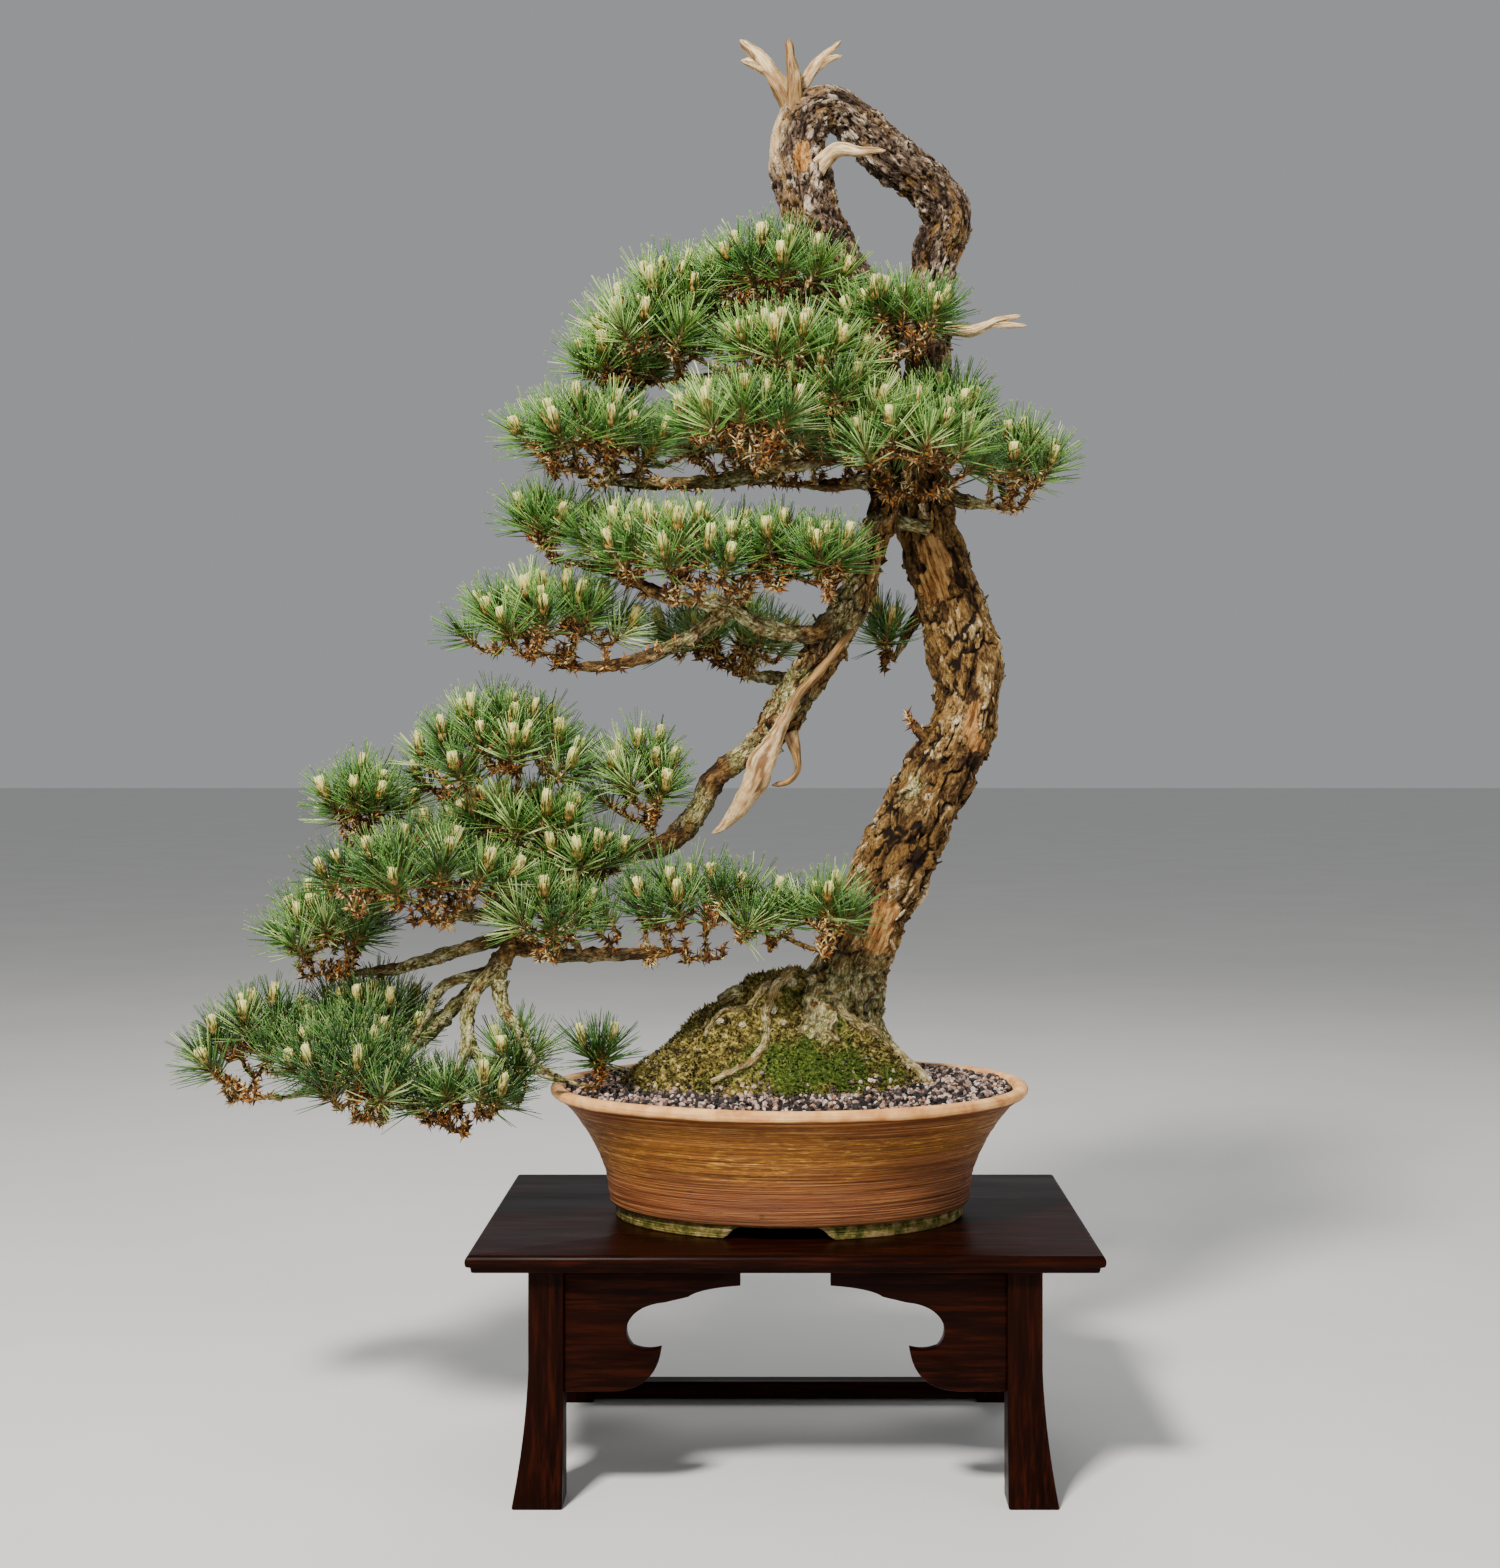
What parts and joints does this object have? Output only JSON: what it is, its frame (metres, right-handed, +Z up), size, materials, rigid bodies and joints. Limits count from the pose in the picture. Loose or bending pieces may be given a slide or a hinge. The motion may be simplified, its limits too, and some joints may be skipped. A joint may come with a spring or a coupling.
{
  "type": "japanese black pine bonsai",
  "caption": "Japanese black pine bonsai whose trunk arches over and falls back through tiered needle pads, in an oval clay pot on a dark wooden stand.",
  "frame": {"origin": "floor point under the middle of the whole object's box", "axes": "+Z up, -Y the front that the picture shows, +X to the right of that front"},
  "size_m": [0.6858, 0.3138, 1.0843],
  "materials": {
    "stand_wood": "gloss",
    "pot_clay": "matte",
    "drain_mesh": "matte",
    "soil_gravel": "matte",
    "moss": "matte",
    "bark": "matte",
    "needles": "satin"
  },
  "bodies": {
    "root": {"stand_top": "stand_wood", "stand_leg_front_left": "stand_wood", "stand_leg_front_right": "stand_wood", "stand_leg_back_left": "stand_wood", "stand_leg_back_right": "stand_wood", "stand_bracket_front_left": "stand_wood", "stand_bracket_front_right": "stand_wood", "stand_bracket_back_left": "stand_wood", "stand_bracket_back_right": "stand_wood", "stand_apron_left": "stand_wood", "stand_apron_right": "stand_wood", "stand_back_rail": "stand_wood", "pot": "pot_clay", "drain_mesh_left": "drain_mesh", "drain_mesh_right": "drain_mesh", "soil": "soil_gravel", "moss": "moss", "trunk": "bark", "needles_crown_top": "needles", "needles_crown_shoulder_left": "needles", "needles_crown_shoulder_right": "needles", "needles_crown_front": "needles", "needles_crown_back": "needles", "needles_skirt_left": "needles", "needles_skirt_front": "needles", "needles_skirt_right": "needles", "needles_skirt_far_right": "needles", "needles_skirt_back": "needles", "needles_middle_left": "needles", "needles_middle_front": "needles", "needles_middle_right": "needles", "needles_low_left": "needles", "needles_low_back": "needles", "needles_low_right": "needles", "needles_fall_top": "needles", "needles_fall_top_right": "needles", "needles_fall_shoulder": "needles", "needles_fall_middle": "needles", "needles_fall_left": "needles", "needles_fall_arm": "needles", "needles_fall_back": "needles", "needles_bottom_left": "needles", "needles_bottom_front": "needles", "needles_bottom_top": "needles", "needles_bottom_right": "needles", "needles_rim_tuft": "needles"}
  },
  "joints": []
}
